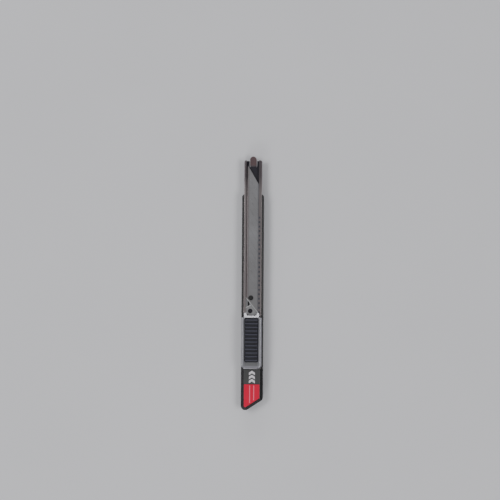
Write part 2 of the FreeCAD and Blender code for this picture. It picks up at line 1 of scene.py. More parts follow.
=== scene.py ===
# %% [markdown]
# # A slim snap-off knife, dressed for the studio
# The packed model already holds every working piece at its real size: body, sheath, blade, slider, lock
# and end cap. This lesson gives each piece its finish, moulds the rubber pad again with softer ribs,
# prints the cap, and sets up floor, light and camera. All lengths are in metres, in the model's own
# frame: +X towards the blade's tip, +Z out of the slider side, +Y towards the cutting edge.

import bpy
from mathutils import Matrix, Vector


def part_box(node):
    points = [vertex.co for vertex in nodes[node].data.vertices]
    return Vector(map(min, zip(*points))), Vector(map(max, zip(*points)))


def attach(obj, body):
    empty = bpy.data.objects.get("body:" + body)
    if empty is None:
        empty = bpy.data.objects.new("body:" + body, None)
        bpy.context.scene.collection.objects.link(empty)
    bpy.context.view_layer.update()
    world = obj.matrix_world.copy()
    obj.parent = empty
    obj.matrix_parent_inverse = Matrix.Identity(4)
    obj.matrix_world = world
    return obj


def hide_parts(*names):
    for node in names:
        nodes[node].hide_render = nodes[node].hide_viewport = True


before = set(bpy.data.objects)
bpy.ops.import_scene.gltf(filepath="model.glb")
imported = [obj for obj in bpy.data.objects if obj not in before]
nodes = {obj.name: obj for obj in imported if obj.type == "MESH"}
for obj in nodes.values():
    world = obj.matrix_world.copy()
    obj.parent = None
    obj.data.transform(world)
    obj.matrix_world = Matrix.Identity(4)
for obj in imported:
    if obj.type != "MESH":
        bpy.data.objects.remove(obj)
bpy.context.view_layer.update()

# %% Blender's own modules
import math
import bmesh
import bpy
from mathutils import Matrix, Vector

print("Blender", bpy.app.version_string)

# Most prints and zones of colour, worn ones and painted light and shade alike, are placed from those
# corners, so they move with the model when it changes. A few places inside a piece, such as the tongue's
# root, are plain numbers. A millimetre is written as `MM`, which keeps small sizes readable.

# %% A millimetre, and the length of the knife
MM = 0.001
cap_low, cap_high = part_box("end_cap")
sheath_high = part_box("sheath")[1]
print(f"overall length {(sheath_high.x - cap_low.x) / MM:.1f} mm")

# %% [markdown]
# ## A short way to write shader nodes
# A finish is a handful of nodes wired together. They can be placed by hand in the shader editor, or in
# Python with several lines for each node. One helper that makes a node and fills its sockets lets every
# finish below read as a recipe.

# %% A node in one line
def node(tree, kind, **values):
    """a new node; keyword names are its properties, and names that aren't properties are its sockets"""
    made = tree.nodes.new(kind)
    for name, value in values.items():
        if hasattr(made, name):
            setattr(made, name, value)
        else:
            made.inputs[name.replace("_", " ")].default_value = value
    return made


print("node:", node.__doc__)

# %% [markdown]
# ## Effects that finishes share
# Grain, brushed lines, worn edges and zones appear on several pieces. Copying their nodes into every
# material works, but then a change has to be made many times. A node group is built once, has named
# sockets like any node, and is placed in each material with that material's own values.

# %% An empty group
def new_group(name, inputs, outputs):
    """an empty node group with named float sockets, and its two end nodes"""
    group = bpy.data.node_groups.new(name, "ShaderNodeTree")
    for label, value in inputs:
        socket = group.interface.new_socket(label, in_out="INPUT", socket_type="NodeSocketFloat")
        socket.default_value = value
    for label in outputs:
        group.interface.new_socket(label, in_out="OUTPUT", socket_type="NodeSocketFloat")
    start = group.nodes.new("NodeGroupInput")
    end = group.nodes.new("NodeGroupOutput")
    return group, start, end


print("new_group:", new_group.__doc__)

# %% A group placed in a material
def use_group(tree, group, **values):
    """a shared group placed in a material with its own values"""
    made = tree.nodes.new("ShaderNodeGroup")
    made.node_tree = group
    for name, value in values.items():
        made.inputs[name.replace("_", " ")].default_value = value
    return made


print("use_group:", use_group.__doc__)

# %% What a group gives
def outputs_of(group):
    """names of a group's outputs"""
    return [item.name for item in group.interface.items_tree if item.in_out == "OUTPUT"]


print("outputs_of:", outputs_of.__doc__)

# %% [markdown]
# ### Grain
# Cast metal under paint, moulded plastic and rubber all have a fine skin, a fraction of a millimetre
# across. An image of such a skin would need unwrapping and shows its seams, while noise fills any shape.
# Two noise scales are used: the skin itself, and slow patches that make gloss uneven like a surface that
# is handled.

# %% Grain group
def build_grain():
    inputs = [("Scale", 3000.0), ("Patch Scale", 90.0)]
    group, start, end = new_group("Fine grain", inputs, ["Height", "Patches"])
    place = node(group, "ShaderNodeTexCoord")
    skin = node(group, "ShaderNodeTexNoise", Detail=4.0, Roughness=0.6)
    patch = node(group, "ShaderNodeTexNoise", Detail=3.0, Roughness=0.55)
    for noise, scale, output in ((skin, "Scale", "Height"), (patch, "Patch Scale", "Patches")):
        group.links.new(place.outputs["Object"], noise.inputs["Vector"])
        group.links.new(start.outputs[scale], noise.inputs["Scale"])
        group.links.new(noise.outputs["Fac"], end.inputs[output])
    return group


fine_grain = build_grain()
print("group:", fine_grain.name, "gives", outputs_of(fine_grain))

# %% [markdown]
# ### Brushed lines
# Rolled and ground steel shows fine parallel lines. Noise that is squeezed along one axis gives them: a
# low scale along the line and a very high scale across it. The same noise at a fraction of the scale
# gives the broader streaks of uneven brushing.

# %% Brushed group
def build_brushed():
    scales = [("Along X", 40.0), ("Along Y", 4000.0), ("Along Z", 4000.0)]
    group, start, end = new_group("Brushed lines", scales, ["Height", "Streaks"])
    link = group.links.new
    streak_share = 0.12
    place = node(group, "ShaderNodeTexCoord")
    stretch = node(group, "ShaderNodeCombineXYZ")
    scaled = node(group, "ShaderNodeVectorMath", operation="MULTIPLY")
    lines = node(group, "ShaderNodeTexNoise", Scale=1.0, Detail=2.0, Roughness=0.7)
    broad = node(group, "ShaderNodeVectorMath", operation="SCALE", Scale=streak_share)
    streaks = node(group, "ShaderNodeTexNoise", Scale=1.0, Detail=2.0, Roughness=0.5)
    for axis in "XYZ":
        link(start.outputs["Along " + axis], stretch.inputs[axis])
    link(place.outputs["Object"], scaled.inputs[0])
    link(stretch.outputs[0], scaled.inputs[1])
    link(scaled.outputs[0], lines.inputs["Vector"])
    link(scaled.outputs[0], broad.inputs[0])
    link(broad.outputs[0], streaks.inputs["Vector"])
    link(lines.outputs["Fac"], end.inputs["Height"])
    link(streaks.outputs["Fac"], end.inputs["Streaks"])
    return group


brushed_lines = build_brushed()
print("group:", brushed_lines.name, "gives", outputs_of(brushed_lines))

# %% [markdown]
# ### Edge wear
# Paint and plating thin out where edges rub in a pocket. Wear can be painted by hand, but then it has to
# be painted again for each shape. The Bevel node gives the normal of a rounded copy of the surface: where
# that differs from the true normal there is an edge, and noise breaks the line up.

# %% Edge wear group
def build_edge_wear():
    inputs = [("Radius", 0.0002), ("Breakup Scale", 900.0), ("Amount", 1.0)]
    group, start, end = new_group("Edge wear", inputs, ["Mask"])
    link = group.links.new
    barely_turned, well_turned = 0.995, 0.88
    break_low, break_high = 0.44, 0.60
    soft = node(group, "ShaderNodeBevel", samples=6)
    true = node(group, "ShaderNodeNewGeometry")
    alike = node(group, "ShaderNodeVectorMath", operation="DOT_PRODUCT")
    edge = node(group, "ShaderNodeMapRange", clamp=True, From_Min=barely_turned, From_Max=well_turned)
    place = node(group, "ShaderNodeTexCoord")
    noise = node(group, "ShaderNodeTexNoise", Detail=5.0, Roughness=0.65)
    cut = node(group, "ShaderNodeMapRange", clamp=True, From_Min=break_low, From_Max=break_high)
    both = node(group, "ShaderNodeMath", operation="MULTIPLY")
    total = node(group, "ShaderNodeMath", operation="MULTIPLY", use_clamp=True)
    link(start.outputs["Radius"], soft.inputs["Radius"])
    link(soft.outputs["Normal"], alike.inputs[0])
    link(true.outputs["Normal"], alike.inputs[1])
    link(alike.outputs["Value"], edge.inputs["Value"])
    link(place.outputs["Object"], noise.inputs["Vector"])
    link(start.outputs["Breakup Scale"], noise.inputs["Scale"])
    link(noise.outputs["Fac"], cut.inputs["Value"])
    link(edge.outputs[0], both.inputs[0])
    link(cut.outputs[0], both.inputs[1])
    link(both.outputs[0], total.inputs[0])
    link(start.outputs["Amount"], total.inputs[1])
    link(total.outputs[0], end.inputs["Mask"])
    return group


edge_wear = build_edge_wear()
print("group:", edge_wear.name, "gives", outputs_of(edge_wear))

# %% [markdown]
# ### Zones
# Steel is not the same everywhere, and some zones also hold painted light and shade. The sheath's floor
# gets painted shade that makes it darker than its lips, and the blade a painted dark reflection along its
# ground edge. Splitting a mesh into several materials gives hard borders. This group turns a coordinate
# into a soft-edged mask instead: it rises at From, falls at To, and Soft is the width of both slopes.

# %% Zone group
def build_zone():
    inputs = [("Value", 0.0), ("From", 0.0), ("To", 1.0), ("Soft", 0.0001)]
    group, start, end = new_group("Zone", inputs, ["Mask"])
    link = group.links.new
    both = node(group, "ShaderNodeMath", operation="MULTIPLY")
    for side, (greater, less) in enumerate((("Value", "From"), ("To", "Value"))):
        gap = node(group, "ShaderNodeMath", operation="SUBTRACT")
        slope = node(group, "ShaderNodeMath", operation="DIVIDE", use_clamp=True)
        link(start.outputs[greater], gap.inputs[0])
        link(start.outputs[less], gap.inputs[1])
        link(gap.outputs[0], slope.inputs[0])
        link(start.outputs["Soft"], slope.inputs[1])
        link(slope.outputs[0], both.inputs[side])
    link(both.outputs[0], end.inputs["Mask"])
    return group


zone = build_zone()
print("group:", zone.name, "gives", outputs_of(zone))

# %% [markdown]
# ## Wiring a finish
# Every finish is a Principled shader. Colour, roughness and relief change over the surface and come from
# the groups. Numbers that are the same all over, such as metal or not, sit on the shader's own sockets,
# where an exporter can read them.

# %% A new finish
def start_material(name, metallic=0.0, specular=0.5):
    """a material with an empty tree apart from its Principled shader"""
    material = bpy.data.materials.new(name)
    material.use_nodes = True
    tree = material.node_tree
    shader = tree.nodes["Principled BSDF"]
    shader.inputs["Metallic"].default_value = metallic
    shader.inputs["Specular IOR Level"].default_value = specular
    return material, tree, shader


print("start_material:", start_material.__doc__)

# %% Two colours by a mask
MIX_FACTOR = 0
MIX_FIRST = 6
MIX_SECOND = 7
MIX_RESULT = 2


def mix_colours(tree, mask, first, second):
    """the first colour where the mask is 0, the second where it is 1; each is a plain colour or a socket"""
    mix = node(tree, "ShaderNodeMix", data_type="RGBA")
    tree.links.new(mask, mix.inputs[MIX_FACTOR])
    for colour, place in ((first, MIX_FIRST), (second, MIX_SECOND)):
        if isinstance(colour, tuple):
            mix.inputs[place].default_value = (*colour, 1)
        else:
            tree.links.new(colour, mix.inputs[place])
    return mix.outputs[MIX_RESULT]


print("mix_colours:", mix_colours.__doc__)

# %% A new span, and two masks joined
def span(tree, source, low, high):
    """a 0 to 1 value spread over a new span"""
    spread = node(tree, "ShaderNodeMapRange", clamp=True, To_Min=low, To_Max=high)
    tree.links.new(source, spread.inputs["Value"])
    return spread.outputs[0]


def combine(tree, operation, first, second):
    """two values joined by a sum or a product"""
    both = node(tree, "ShaderNodeMath", operation=operation, use_clamp=True)
    tree.links.new(first, both.inputs[0])
    tree.links.new(second, both.inputs[1])
    return both.outputs[0]


print("span:", span.__doc__, "and combine:", combine.__doc__)

# %% The last wires of a finish
def wire(tree, shader, colour, rough, height, relief):
    """colour, roughness and relief given to the shader; relief is a strength and a depth"""
    strength, depth = relief
    bump = node(tree, "ShaderNodeBump", Strength=strength, Distance=depth)
    tree.links.new(colour, shader.inputs["Base Color"])
    tree.links.new(rough, shader.inputs["Roughness"])
    tree.links.new(height, bump.inputs["Height"])
    tree.links.new(bump.outputs[0], shader.inputs["Normal"])


print("wire:", wire.__doc__)

# %% Masks along an axis and beside a slanting line
def zone_mask(tree, axis, low, high, soft, source="Object"):
    """a soft mask between two limits along one axis of the object's coordinates or normal"""
    place = node(tree, "ShaderNodeTexCoord")
    parts = node(tree, "ShaderNodeSeparateXYZ")
    band = use_group(tree, zone, From=low, To=high, Soft=soft)
    tree.links.new(place.outputs[source], parts.inputs[0])
    tree.links.new(parts.outputs[axis], band.inputs["Value"])
    return band.outputs["Mask"]


def line_mask(tree, start, across, low, high, soft):
    """a soft band beside a slanting line in plan: start is on the line, across is square to it"""
    place = node(tree, "ShaderNodeTexCoord")
    offset = node(tree, "ShaderNodeVectorMath", operation="SUBTRACT")
    offset.inputs[1].default_value = (*start, 0.0)
    reach = node(tree, "ShaderNodeVectorMath", operation="DOT_PRODUCT")
    reach.inputs[1].default_value = (*across, 0.0)
    band = use_group(tree, zone, From=low, To=high, Soft=soft)
    tree.links.new(place.outputs["Object"], offset.inputs[0])
    tree.links.new(offset.outputs[0], reach.inputs[0])
    tree.links.new(reach.outputs["Value"], band.inputs["Value"])
    return band.outputs["Mask"]


print("zone_mask:", zone_mask.__doc__, "and line_mask:", line_mask.__doc__)

# %% [markdown]
# ## Plain finishes
# Many pieces differ only in colour, gloss and grain: rivets, cam, label, printing ink, the floor. One
# recipe makes them all. Two close colours in slow patches are enough to stop a surface from looking like
# a flat swatch, and the relief is a few hundredths of a millimetre at most.

# %% Moulded and cast skins
def grained(name, dark, light, gloss, grain, patch, relief, metallic=0.0, specular=0.5):
    """a moulded or cast skin: two close colours in slow patches, uneven gloss, fine relief"""
    material, tree, shader = start_material(name, metallic, specular)
    skin = use_group(tree, fine_grain, Scale=grain, Patch_Scale=patch)
    patches = skin.outputs["Patches"]
    colour = mix_colours(tree, patches, dark, light)
    wire(tree, shader, colour, span(tree, patches, *gloss), skin.outputs["Height"], relief)
    return material


rivet_steel = grained("rivet_steel", dark=(0.46, 0.46, 0.47), light=(0.58, 0.58, 0.59), gloss=(0.24, 0.36),
                      grain=2500.0, patch=300.0, relief=(0.2, 0.01 * MM), metallic=1.0)
# painted shade: the stud is near black to stand in for the shade inside the blade's hole
painted_hole_shade = grained("painted_hole_shade", dark=(0.02, 0.02, 0.021), light=(0.045, 0.044, 0.045),
                          gloss=(0.3, 0.45), grain=2500.0, patch=500.0, relief=(0.3, 0.02 * MM),
                          metallic=0.6)
cam_plastic = grained("cam_plastic", dark=(0.05, 0.05, 0.05), light=(0.08, 0.08, 0.08), gloss=(0.4, 0.5),
                      grain=2500.0, patch=200.0, relief=(0.2, 0.02 * MM))
label_red = grained("label_red", dark=(0.66, 0.003, 0.040), light=(0.74, 0.006, 0.052), gloss=(0.30, 0.42),
                    grain=2600.0, patch=120.0, relief=(0.12, 0.02 * MM), specular=0.35)
print("plain finishes:", rivet_steel.name, painted_hole_shade.name, cam_plastic.name, label_red.name)

# %% [markdown]
# ## The lock spring's steel
# The leaf is cold-rolled spring steel, brushed along its length. It is the simplest use of the brushed
# group: the lines run along X because the scale there is low. Broad streaks steer both colour and gloss,
# since a deeper brush stroke is darker and duller at once.

# %% Spring steel
def rolled_spring_steel():
    material, tree, shader = start_material("spring_steel", 1.0)
    lines = use_group(tree, brushed_lines, Along_X=50.0, Along_Y=3000.0, Along_Z=3000.0)
    streaks = lines.outputs["Streaks"]
    colour = mix_colours(tree, streaks, (0.36, 0.37, 0.39), (0.46, 0.47, 0.49))
    wire(tree, shader, colour, span(tree, streaks, 0.25, 0.36), lines.outputs["Height"], (0.2, 0.01 * MM))
    return material


spring_steel = rolled_spring_steel()
print("finish:", spring_steel.name, "with", len(spring_steel.node_tree.nodes), "nodes")

# %% [markdown]
# ## The body's paint
# The die-cast body is painted satin black, and its rims show bare metal where they rub. Paint over metal
# could be two materials, but the border is ragged. One edge mask turns the colour from paint to metal and
# the metallic value from 0 to 1 together, so each worn speck shines like metal.

# %% Painted casting
def painted_casting():
    material, tree, shader = start_material("black_paint", specular=0.45)
    skin = use_group(tree, fine_grain, Scale=2600.0, Patch_Scale=120.0)
    wear = use_group(tree, edge_wear, Radius=0.16 * MM, Breakup_Scale=700.0, Amount=0.55)
    patches = skin.outputs["Patches"]
    bare_metal = (0.34, 0.33, 0.32)
    paint = mix_colours(tree, patches, (0.022, 0.022, 0.023), (0.040, 0.039, 0.040))
    colour = mix_colours(tree, wear.outputs["Mask"], paint, bare_metal)
    tree.links.new(wear.outputs["Mask"], shader.inputs["Metallic"])
    wire(tree, shader, colour, span(tree, patches, 0.34, 0.5), skin.outputs["Height"], (0.35, 0.03 * MM))
    return material


black_paint = painted_casting()
print("finish:", black_paint.name, "with", len(black_paint.node_tree.nodes), "nodes")

# %% [markdown]
# ## The sheath's steel
# The sheath is folded from brushed stainless sheet. Its folds are worn bright and the part in front of the
# body is tarnished. Its floor is darkened with painted shade where the channel lies in shadow, and the
# tongue has a painted brown reflection. One material for each zone would end in hard lines, so masks mix
# the colours in one material. The floor's painted shade is found by two masks together: just above the
# sheet's height, and on faces that look up. Each zone is one more colour mixed over the last. `FAR` is
# past every piece and `ANY_TILT` past every part of a normal: a zone that ends there has no end.

# %% Where the sheath changes
FAR = 1.0
ANY_TILT = 2.0
body_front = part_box("body_shell")[1].x
floor_level = 4.52 * MM
tongue_root = 65.2 * MM
print(f"bare in front of x {body_front / MM:.1f} mm, tongue from x {tongue_root / MM:.1f} mm")

# %% Sheath steel
def folded_steel():
    material, tree, shader = start_material("folded_steel", 1.0)
    lines = use_group(tree, brushed_lines, Along_X=30.0, Along_Y=3500.0, Along_Z=3500.0)
    wear = use_group(tree, edge_wear, Radius=0.12 * MM, Breakup_Scale=500.0, Amount=0.8)
    streaks = lines.outputs["Streaks"]
    bright_fold = (0.78, 0.76, 0.75)
    tarnish = (0.17, 0.148, 0.158)
    # painted shade: the channel's floor is darkened where it lies in shadow
    painted_floor_shade = (0.045, 0.043, 0.052)
    # painted reflection: the tongue's brown tint stands in for what it mirrors
    painted_tongue_reflection = (0.22, 0.155, 0.16)
    colour = mix_colours(tree, streaks, (0.275, 0.248, 0.252), (0.375, 0.335, 0.34))
    colour = mix_colours(tree, wear.outputs["Mask"], colour, bright_fold)
    low = zone_mask(tree, "Z", 3.8 * MM, floor_level, 0.06 * MM)
    upward = zone_mask(tree, "Z", 0.5, ANY_TILT, 0.2, source="Normal")
    floor_shade_zone = combine(tree, "MULTIPLY", low, upward)
    bare_front = zone_mask(tree, "X", body_front + 2 * MM, FAR, 8 * MM)
    colour = mix_colours(tree, bare_front, colour, tarnish)
    # the painted shade laid over the floor
    colour = mix_colours(tree, floor_shade_zone, colour, painted_floor_shade)
    beyond_root = zone_mask(tree, "X", tongue_root, FAR, 0.6 * MM)
    raised = zone_mask(tree, "Z", 4.4 * MM, 5.2 * MM, 0.1 * MM)
    colour = mix_colours(tree, combine(tree, "MULTIPLY", beyond_root, raised), colour, painted_tongue_reflection)
    rough = combine(tree, "ADD", span(tree, streaks, 0.26, 0.40), span(tree, floor_shade_zone, 0.0, 0.2))
    wire(tree, shader, colour, rough, lines.outputs["Height"], (0.25, 0.01 * MM))
    return material


sheath_steel = folded_steel()
print("finish:", sheath_steel.name, "with", len(sheath_steel.node_tree.nodes), "nodes")

# %% [markdown]
# ## The blade's steel
# A blade strip is ground across its width, so its lines run across, along Y. The ground edge gets a
# painted dark, slightly brown reflection, and painted shade almost black near the point. Zones could be
# painted on by hand, but bands measured from the blade's own box stay right when the model is packed
# again. The strip under the notched lip gets painted shade. Worn edges are bright, and the same colour
# serves as a painted highlight on them. The slanting tail shows a painted glint along its sheared line,
# which takes the mask for slanting lines.

# %% Where the blade changes
blade_low, blade_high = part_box("blade")
tail_angle = math.radians(39.0)
square_to_tail = (math.sin(tail_angle), -math.cos(tail_angle))
ground_width = 2.6 * MM
dark_width = 1.75 * MM
spine_width = 2.0 * MM
glint_width = 0.42 * MM
blade_size = (blade_high - blade_low) / MM
print(f"blade {blade_size.x:.1f} mm long, {blade_size.y:.1f} mm wide")

# %% Blade steel
def ground_steel():
    material, tree, shader = start_material("ground_blade_steel", 1.0)
    lines = use_group(tree, brushed_lines, Along_X=3800.0, Along_Y=70.0, Along_Z=3800.0)
    skin = use_group(tree, fine_grain, Scale=2200.0, Patch_Scale=60.0)
    wear = use_group(tree, edge_wear, Radius=0.1 * MM, Breakup_Scale=400.0, Amount=0.9)
    patches = skin.outputs["Patches"]
    # partly wear, partly painted highlight: bright worn edges, and a painted glint on the tail
    glint_and_worn_edge = (0.80, 0.81, 0.82)
    # painted reflection: the ground bevel is darker and slightly brown, as it mirrors a darker part of the
    # room
    painted_bevel_reflection = (0.25, 0.215, 0.22)
    # painted shade: the edge near the point is almost black, where the channel shades it
    painted_point_shade = (0.030, 0.026, 0.032)
    # painted shade: the strip under the notched lip, which the lip shades
    painted_lip_shade = (0.16, 0.16, 0.19)
    brushed_colour = mix_colours(tree, lines.outputs["Streaks"], (0.395, 0.39, 0.40), (0.46, 0.455, 0.465))
    handled = mix_colours(tree, patches, (0.92, 0.90, 0.88), (0.98, 1.0, 1.03))
    shade = node(tree, "ShaderNodeMix", data_type="RGBA", blend_type="MULTIPLY")
    shade.inputs[MIX_FACTOR].default_value = 1.0
    tree.links.new(brushed_colour, shade.inputs[MIX_FIRST])
    tree.links.new(handled, shade.inputs[MIX_SECOND])
    colour = mix_colours(tree, wear.outputs["Mask"], shade.outputs[MIX_RESULT], glint_and_worn_edge)
    ground = zone_mask(tree, "Y", blade_high.y - ground_width, FAR, 1.2 * MM)
    colour = mix_colours(tree, ground, colour, painted_bevel_reflection)
    narrow = zone_mask(tree, "Y", blade_high.y - dark_width, FAR, 0.4 * MM)
    near_point = zone_mask(tree, "X", body_front - 2 * MM, FAR, 13 * MM)
    colour = mix_colours(tree, combine(tree, "MULTIPLY", narrow, near_point), colour, painted_point_shade)
    spine = zone_mask(tree, "Y", -FAR, blade_low.y + spine_width, 0.9 * MM)
    colour = mix_colours(tree, spine, colour, painted_lip_shade)
    tail_corner = (blade_low.x, blade_low.y)
    # painted highlight: a glint along the tail's sheared line
    tail_glint = line_mask(tree, tail_corner, square_to_tail, -0.05 * MM, glint_width, 0.1 * MM)
    colour = mix_colours(tree, tail_glint, colour, glint_and_worn_edge)
    wire(tree, shader, colour, span(tree, patches, 0.26, 0.38), lines.outputs["Height"], (0.2, 0.01 * MM))
    return material


blade_steel = ground_steel()
print("finish:", blade_steel.name, "with", len(blade_steel.node_tree.nodes), "nodes")

# %% [markdown]
# ## The blade holder's steel
# The holder is pressed from sheet, brushed along its length. A painted highlight and painted shade could
# be separate faces with materials of their own, but that means cutting the mesh. Masks draw them and
# leave the mesh alone. The free edge of its raised half gets a painted glint, and the low corner behind
# the blade's tail gets painted shade. Both places are products of simple masks: a band beside the edge
# times a height, and a small rectangle times a height.

# %% Where the holder changes
crest_y = 0.9 * MM
crest_x = blade_low.x + (crest_y - blade_low.y) / math.tan(tail_angle) - 0.25 * MM
crest_lean = math.radians(28.0)
square_to_crest = (-math.cos(crest_lean), -math.sin(crest_lean))
print(f"the raised half's crest is at x {crest_x / MM:.2f} mm, y {crest_y / MM:.2f} mm")

# %% Holder steel
def carrier_steel():
    material, tree, shader = start_material("carrier_steel", 1.0)
    lines = use_group(tree, brushed_lines, Along_X=40.0, Along_Y=2600.0, Along_Z=2600.0)
    streaks = lines.outputs["Streaks"]
    # painted highlight: a glint on the free edge of the raised half
    painted_edge_glint = (0.82, 0.82, 0.83)
    # painted shade: the low corner behind the blade's tail
    painted_corner_shade = (0.03, 0.03, 0.034)
    step = 0.05 * MM
    edge = 0.3 * MM
    colour = mix_colours(tree, streaks, (0.40, 0.40, 0.41), (0.48, 0.48, 0.49))
    free_edge = line_mask(tree, (crest_x, crest_y), square_to_crest, -0.1 * MM, 0.45 * MM, 0.1 * MM)
    raised = zone_mask(tree, "Z", blade_low.z + 0.35 * MM, FAR, step)
    outside = zone_mask(tree, "Y", crest_y - 0.4 * MM, FAR, edge)
    bright = combine(tree, "MULTIPLY", combine(tree, "MULTIPLY", free_edge, raised), outside)
    colour = mix_colours(tree, bright, colour, painted_edge_glint)
    corner_x = zone_mask(tree, "X", crest_x - 2.5 * MM, crest_x + 2.4 * MM, edge)
    corner_y = zone_mask(tree, "Y", crest_y + 0.55 * MM, crest_y + 1.9 * MM, edge)
    low = zone_mask(tree, "Z", -FAR, blade_low.z + 0.10 * MM, step)
    corner = combine(tree, "MULTIPLY", combine(tree, "MULTIPLY", corner_x, corner_y), low)
    colour = mix_colours(tree, corner, colour, painted_corner_shade)
    wire(tree, shader, colour, span(tree, streaks, 0.3, 0.42), lines.outputs["Height"], (0.25, 0.01 * MM))
    return material


holder_steel = carrier_steel()
print("finish:", holder_steel.name, "with", len(holder_steel.node_tree.nodes), "nodes")

# %% [markdown]
# ## The slider's casting
# The frame around the pad is cast metal with a satin plating. Its rear rim gets a painted highlight, and
# the hollow in front of that rim gets painted shade. A second material there would end in a hard line, so
# masks mix the colours. The hollow is a slope, so it is found by its normal: faces that lean forward near
# the rear end.

# %% Slider casting
slider_low, slider_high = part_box("slider_frame")
rear_rim = 1.75 * MM
rear_slope = 5 * MM


def satin_casting():
    material, tree, shader = start_material("satin_cast_metal", 1.0)
    skin = use_group(tree, fine_grain, Scale=5200.0, Patch_Scale=160.0)
    patches = skin.outputs["Patches"]
    border = 0.4 * MM
    colour = mix_colours(tree, patches, (0.345, 0.345, 0.374), (0.43, 0.43, 0.464))
    rim = zone_mask(tree, "X", -FAR, slider_low.x + rear_rim, border)
    # painted highlight: the rear rim is lighter
    painted_rim_highlight = mix_colours(tree, patches, (0.43, 0.425, 0.475), (0.50, 0.495, 0.55))
    colour = mix_colours(tree, rim, colour, painted_rim_highlight)
    leaning = zone_mask(tree, "X", 0.16, 0.6, 0.08, source="Normal")
    rear = zone_mask(tree, "X", -FAR, slider_low.x + rear_slope, border)
    # painted shade: the slope in front of the rear rim is darker
    painted_hollow_shade = mix_colours(tree, patches, (0.29, 0.29, 0.305), (0.36, 0.36, 0.375))
    colour = mix_colours(tree, combine(tree, "MULTIPLY", leaning, rear), colour, painted_hollow_shade)
    wire(tree, shader, colour, span(tree, patches, 0.27, 0.36), skin.outputs["Height"], (0.10, 0.01 * MM))
    return material


satin_cast = satin_casting()
print("finish:", satin_cast.name, f"on a slider {(slider_high.x - slider_low.x) / MM:.1f} mm long")

# %% [markdown]
# ## The pad's rubber
# Rubber is almost black in its grooves. Its crests get a painted highlight, greyer, and are smoother. A
# zone at the crests' height gives that, made uneven by the patches. The same mask lowers the roughness, so
# the crests shine.

# %% Ribbed rubber
grip_low, grip_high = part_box("slider_grip")


def ribbed_rubber():
    material, tree, shader = start_material("ribbed_rubber", specular=0.5)
    skin = use_group(tree, fine_grain, Scale=5200.0, Patch_Scale=220.0)
    patches = skin.outputs["Patches"]
    # painted highlight: the crests are greyer than the grooves
    painted_crest_highlight = (0.060, 0.060, 0.085)
    colour = mix_colours(tree, patches, (0.007, 0.007, 0.012), (0.014, 0.014, 0.024))
    crest = zone_mask(tree, "Z", grip_high.z - 0.16 * MM, FAR, 0.12 * MM)
    crest_highlight_zone = combine(tree, "MULTIPLY", crest, span(tree, patches, 0.6, 1.0))
    colour = mix_colours(tree, crest_highlight_zone, colour, painted_crest_highlight)
    wire(tree, shader, colour, span(tree, crest_highlight_zone, 0.52, 0.34), skin.outputs["Height"], (0.25, 0.02 * MM))
    return material


grip_rubber = ribbed_rubber()
print("finish:", grip_rubber.name, "with", len(grip_rubber.node_tree.nodes), "nodes")

# %% [markdown]
# ## The cap's plastic
# The cap is moulded with a fine matt texture on its flat top, and smooth bevels and sides. Painted shade
# makes the bevels and sides darker and the flat top lighter, by how each face turns to the light. Faces
# could be picked by number, but numbers change with the model. A face's direction tells them apart: where
# the normal points straight up the surface is matt and lighter. The roughness is a smooth one plus a
# little more on the flat.

# %% Moulded cap plastic
def moulded_black():
    material, tree, shader = start_material("moulded_black", specular=0.6)
    skin = use_group(tree, fine_grain, Scale=3200.0, Patch_Scale=140.0)
    wear = use_group(tree, edge_wear, Radius=0.25 * MM, Breakup_Scale=500.0, Amount=0.35)
    patches = skin.outputs["Patches"]
    scuffed = (0.085, 0.085, 0.088)
    # painted shade: bevels and sides are near black
    painted_bevel_shade = mix_colours(tree, patches, (0.006, 0.006, 0.007), (0.012, 0.011, 0.013))
    # painted light: the flat top is lighter
    matt = mix_colours(tree, patches, (0.038, 0.039, 0.039), (0.055, 0.056, 0.056))
    flat = zone_mask(tree, "Z", 0.93, ANY_TILT, 0.05, source="Normal")
    colour = mix_colours(tree, flat, painted_bevel_shade, matt)
    colour = mix_colours(tree, wear.outputs["Mask"], colour, scuffed)
    rough = combine(tree, "ADD", span(tree, patches, 0.20, 0.30), span(tree, flat, 0.0, 0.16))
    wire(tree, shader, colour, rough, skin.outputs["Height"], (0.35, 0.03 * MM))
    return material


cap_plastic = moulded_black()
print("finish:", cap_plastic.name, "with", len(cap_plastic.node_tree.nodes), "nodes")

# %% [markdown]
# ## Each piece gets its finish
# The pieces of the packed model keep their shapes. A material is given by emptying the mesh's material
# list and adding the new one, so that no default grey is left behind.

# %% Finishes given
finishes = {"body_shell": black_paint, "sheath": sheath_steel, "sheath_rivets": rivet_steel,
            "blade": blade_steel, "blade_holder": holder_steel, "blade_stud": painted_hole_shade,
            "lock_spring": spring_steel, "spring_rivets": rivet_steel, "slider_frame": satin_cast,
            "slider_grip": grip_rubber, "slider_cam": cam_plastic, "slider_pins": rivet_steel,
            "end_cap": cap_plastic, "cap_label": label_red}
for name, finish in finishes.items():
    nodes[name].data.materials.clear()
    nodes[name].data.materials.append(finish)
print("finishes given:", len(finishes), "of", len(nodes))

# %% [markdown]
# ## The rubber grip
# The pad is moulded rubber: twelve soft ribs that die out before the pad's sides. It could be carved from
# a block with bevelled bars, but soft fades are hard to get that way. Here the height at any spot is a
# formula, and a fine grid gets its heights from it. The grid's rows shorten near both ends, which rounds
# the corners in plan, and its border is carried down to the seat and closed.

# %% Sizes of the ribs
rib_count = 12
end_margin = 1.1 * MM
first_rib = grip_low.x + end_margin
rib_pitch = (grip_high.x - grip_low.x - 2 * end_margin) / (rib_count - 1)
pad_top = grip_low.z + 0.40 * MM
rib_rise = grip_high.z - pad_top
print(f"{rib_count} ribs, {rib_pitch / MM:.2f} mm apart, {rib_rise / MM:.2f} mm high")

# %% A soft step
def smooth(value):
    """a step from 0 to 1 with no corners"""
    value = min(max(value, 0.0), 1.0)
    return value * value * (3 - 2 * value)


